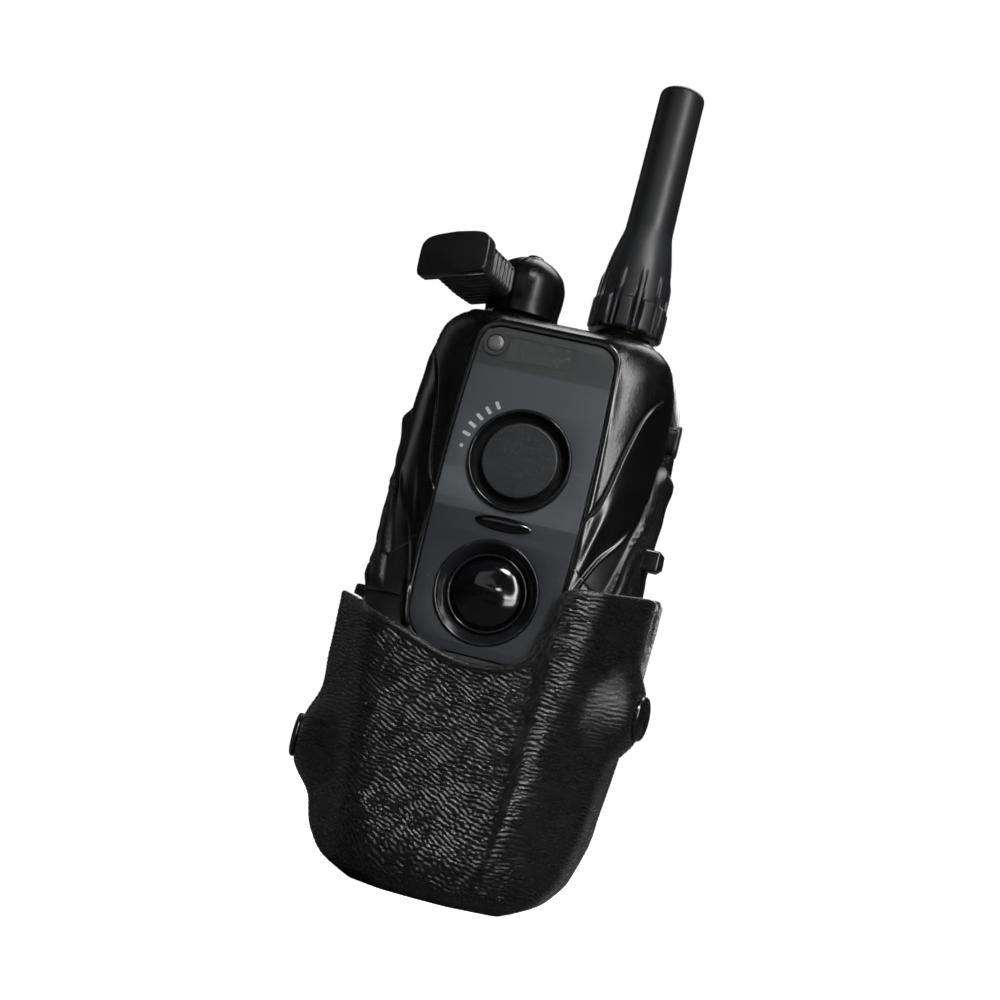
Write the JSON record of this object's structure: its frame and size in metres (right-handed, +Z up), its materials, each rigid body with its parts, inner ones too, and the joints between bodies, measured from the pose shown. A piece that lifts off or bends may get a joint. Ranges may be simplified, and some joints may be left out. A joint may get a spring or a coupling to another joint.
{
  "type": "handheld radio transmitter in a leather belt holster",
  "caption": "Handheld radio transmitter with a round pager button, display, level lever and stub antenna, standing in a pebbled leather belt holster.",
  "frame": {"origin": "on the holster's flat resting face, under the middle of the face plate", "axes": "+Z up along the antenna, -Y out of the face plate, +X to the side that carries the antenna"},
  "size_m": [0.083, 0.0554, 0.2078],
  "materials": {
    "leather": "pebbled black leather, semi-matt",
    "snap": "black enamelled, glossy",
    "casing": "fine-grained moulded ABS",
    "grip": "satin rubber",
    "plate": "satin printed polycarbonate",
    "gloss": "polished",
    "button": "satin",
    "window": "clear, smoke tinted",
    "lcd": "liquid crystal cell",
    "led": "frosted grey",
    "boot": "soft silicone",
    "steel": "plated",
    "board": "solder-masked laminate",
    "shield": "tinned can",
    "battery": "shrink sleeve",
    "brass": "machined",
    "socket": "black anodised, glossy",
    "antenna": "matt moulded rubber",
    "lever": "polished end"
  },
  "bodies": {
    "holster": {"holster_front": "leather", "holster_back": "leather", "belt_loop": "leather", "loop_rivets": "snap", "snap_caps": "snap", "snap_studs": "steel"},
    "transmitter": {"front_shell": "casing", "rear_shell": "casing", "shell_gasket": "boot", "case_screws": "steel", "face_plate": "plate", "display_window": "window", "lcd_module": "lcd", "led_bezel": "gloss", "led_lens": "led", "pager_bezel": "gloss", "pager_boot": "boot", "locator_ridge": "gloss", "lower_dish": "gloss", "lower_button_ring": "gloss", "main_board": "board", "board_screws": "steel", "button_switches": "steel", "radio_shield": "shield", "sounder": "gloss", "battery_pack": "battery", "charge_jack": "gloss", "dial_pot": "steel", "dial_nut": "steel", "dial_seal": "boot", "antenna_socket": "socket", "side_grip_left": "grip", "side_grip_right": "grip"},
    "pager_key": {"pager_button": "button"},
    "lower_key": {"lower_button": "gloss"},
    "side_key": {"side_button": "gloss"},
    "charge_cover": {"charge_plug": "boot"},
    "level_dial": {"dial_shaft": "steel", "dial_hub": "casing", "lever_arm": "casing", "lever_grip": "grip", "lever_cap": "lever"},
    "antenna": {"antenna_stud": "brass", "antenna_radiator": "brass", "antenna_sleeve": "antenna"}
  },
  "joints": [
    {"name": "transmitter_lift", "type": "slide", "parent": "holster", "child": "transmitter", "axis": [0, 0, 1], "range_m": [0, 0.092]},
    {"name": "pager_press", "type": "slide", "parent": "transmitter", "child": "pager_key", "axis": [0, 1, 0], "range_m": [0, 0.0008], "stiffness_N_per_m": 600, "springref_m": -0.001},
    {"name": "lower_press", "type": "slide", "parent": "transmitter", "child": "lower_key", "axis": [0, 1, 0], "range_m": [0, 0.001], "stiffness_N_per_m": 600, "springref_m": -0.001},
    {"name": "side_press", "type": "slide", "parent": "transmitter", "child": "side_key", "axis": [-1, 0, 0], "range_m": [0, 0.001], "stiffness_N_per_m": 500, "springref_m": -0.001},
    {"name": "charge_plug_pull", "type": "slide", "parent": "transmitter", "child": "charge_cover", "axis": [1, 0, 0], "range_m": [0, 0.01]},
    {"name": "level_turn", "type": "hinge", "parent": "transmitter", "child": "level_dial", "pos_m": [-0.0124, 0.0015, 0.14], "axis": [0, 0, 1], "range_deg": [-70, 50]},
    {"name": "antenna_lift", "type": "slide", "parent": "transmitter", "child": "antenna", "axis": [0, 0, 1], "range_m": [0, 0.014]}
  ]
}
